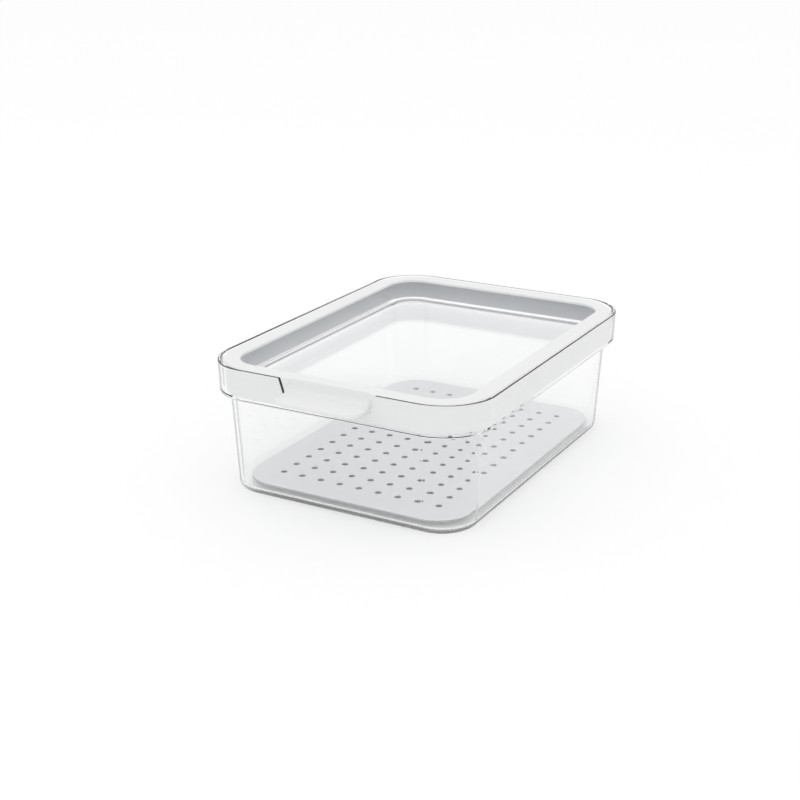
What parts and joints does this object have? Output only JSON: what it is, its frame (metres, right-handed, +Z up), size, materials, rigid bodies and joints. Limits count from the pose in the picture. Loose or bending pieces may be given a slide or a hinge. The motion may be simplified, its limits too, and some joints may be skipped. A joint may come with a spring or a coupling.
{
  "type": "fridge organizer bin",
  "caption": "Clear rectangular fridge bin with an upright collar, a white-framed window lid with a thumb tab, and a perforated drip tray inside.",
  "frame": {"origin": "centre of the base's underside, midway between the collar's sides", "axes": "+Z up, X across the front, +Y from the front with the thumb tab to the back"},
  "size_m": [0.136, 0.196, 0.062],
  "materials": {
    "clear_plastic": "clear, polished",
    "white_plastic": "satin white",
    "window_plastic": "clear, polished",
    "tray_plastic": "satin light grey"
  },
  "bodies": {
    "container": {"container": "clear_plastic"},
    "lid": {"lid_frame": "white_plastic", "lid_window": "window_plastic"},
    "tray": {"drip_tray": "tray_plastic"}
  },
  "joints": [
    {"name": "lid_lift", "type": "slide", "parent": "container", "child": "lid", "axis": [0, 0, 1], "range_m": [0, 0.07]},
    {"name": "tray_lift", "type": "slide", "parent": "container", "child": "tray", "axis": [0, 0, 1], "range_m": [0, 0.04]}
  ]
}
